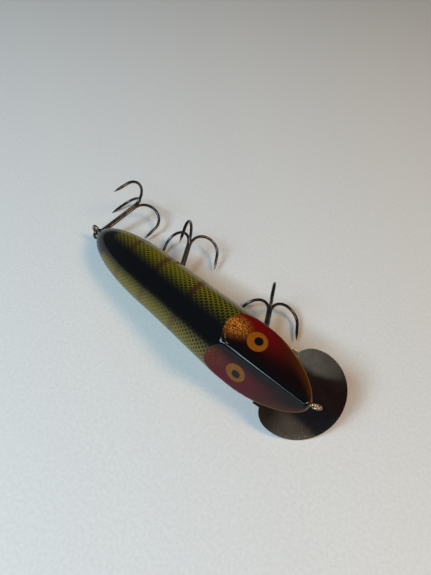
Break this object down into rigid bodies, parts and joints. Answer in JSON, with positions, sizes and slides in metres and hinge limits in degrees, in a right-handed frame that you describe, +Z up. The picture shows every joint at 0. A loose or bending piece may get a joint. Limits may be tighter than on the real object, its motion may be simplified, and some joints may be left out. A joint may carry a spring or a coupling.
{
  "type": "crankbait lure",
  "caption": "Wooden diving plug with slanted flat cheeks, a disc-shaped metal lip in a sawn slot, a nose screw eye for the line, and treble hooks that swing on screw eyes.",
  "frame": {"origin": "on the table, under the middle of the lure's bounding box", "axes": "+X towards the nose, +Z up, +Y to the lure's left, as it lies on its right flank with the hooks out to its left"},
  "size_m": [0.1306, 0.0458, 0.0271],
  "materials": {
    "painted_wood": "glossy varnish over a perch-scale paint with a black back and dark red cheeks",
    "lip_metal": "tarnished nickel plate, smudged gloss",
    "nickel": "dulled nickel plate",
    "brass_wire": "bare brass, lightly tarnished",
    "hook_steel": "bronzed hook steel"
  },
  "bodies": {
    "plug": {"body": "painted_wood", "diving_lip": "lip_metal", "lip_screw_left": "nickel", "lip_screw_right": "nickel", "line_tie": "brass_wire", "front_hook_cup": "nickel", "front_hook_eye": "nickel", "rear_hook_cup": "nickel", "rear_hook_eye": "nickel", "tail_washer": "nickel", "tail_hook_eye": "nickel"},
    "front_hook": {"front_treble": "hook_steel"},
    "rear_hook": {"rear_treble": "hook_steel"},
    "tail_hook": {"tail_treble": "hook_steel"}
  },
  "joints": [
    {"name": "front_hook_swing", "type": "hinge", "parent": "plug", "child": "front_hook", "pos_m": [0.03373, -0.00428, 0.00687], "axis": [0.8404, 0.5375, 0.0698], "range_deg": [-100, 28]},
    {"name": "rear_hook_swing", "type": "hinge", "parent": "plug", "child": "rear_hook", "pos_m": [-0.01064, -0.00484, 0.00243], "axis": [0.8533, 0.5168, 0.0698], "range_deg": [-100, 18]},
    {"name": "tail_hook_swing", "type": "hinge", "parent": "plug", "child": "tail_hook", "pos_m": [-0.05274, -0.0117, 0.0047], "axis": [0.9972, 0.0261, 0.0698], "range_deg": [-100, 45]}
  ]
}
